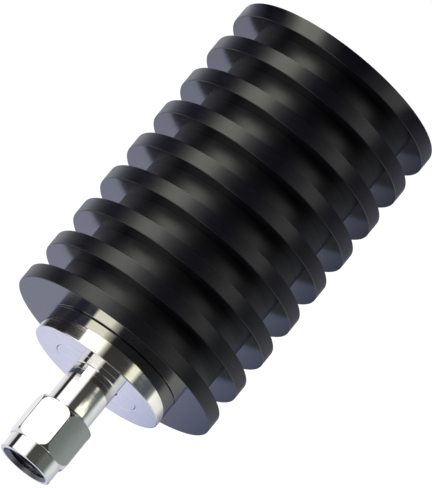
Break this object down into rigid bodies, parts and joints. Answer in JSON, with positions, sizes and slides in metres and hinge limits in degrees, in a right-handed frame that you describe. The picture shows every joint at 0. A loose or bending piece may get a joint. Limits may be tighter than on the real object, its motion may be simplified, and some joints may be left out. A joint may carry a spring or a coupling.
{
  "type": "coaxial terminator",
  "caption": "Cylindrical finned coaxial load that ends a radio line: black heat sink, bright flange and a threaded plug whose coupling nut turns freely.",
  "frame": {"origin": "centre of the heat sink's flat rear end, which the part stands on", "axes": "+Z along the common axis, from the heat sink to the plug's mouth; -Y towards the picture's camera"},
  "size_m": [0.031, 0.031, 0.0658],
  "materials": {
    "black_anodised_aluminium": "satin black anodised",
    "polished_nickel": "bright nickel plate on brass",
    "nut_nickel": "bright nickel plate on brass",
    "spring_bronze": "bare spring bronze",
    "silicone_rubber": "soft red silicone",
    "white_fluoropolymer": "white, waxy",
    "gold_plate": "gold plate",
    "graphite_foil": "grey foil",
    "copper_plate": "nickel plate on copper",
    "white_ceramic": "fired ceramic",
    "resistive_film": "dark film",
    "silver_plate": "silver plate",
    "bright_steel": "bright steel"
  },
  "bodies": {
    "terminator": {"heat_sink": "black_anodised_aluminium", "load_body": "polished_nickel", "connector_body": "polished_nickel", "snap_ring": "spring_bronze", "outer_ferrule": "polished_nickel", "sealing_gasket": "silicone_rubber", "front_insulator": "white_fluoropolymer", "rear_insulator": "white_fluoropolymer", "centre_pin": "gold_plate", "inner_conductor": "gold_plate", "thermal_foil": "graphite_foil", "resistor_plate": "copper_plate", "resistor_substrate": "white_ceramic", "resistor_film": "resistive_film", "input_electrode": "silver_plate", "ground_electrode": "silver_plate", "resistor_cover": "white_ceramic", "input_tab": "silver_plate", "plate_screw_left": "bright_steel", "plate_screw_right": "bright_steel", "screw_washer_left": "bright_steel", "screw_washer_right": "bright_steel"},
    "coupling_nut": {"coupling_nut": "nut_nickel"}
  },
  "joints": [
    {"name": "coupling_nut_spin", "type": "hinge", "parent": "terminator", "child": "coupling_nut", "pos_m": [0, 0, 0.06155], "axis": [0, 0, 1], "continuous": true}
  ]
}
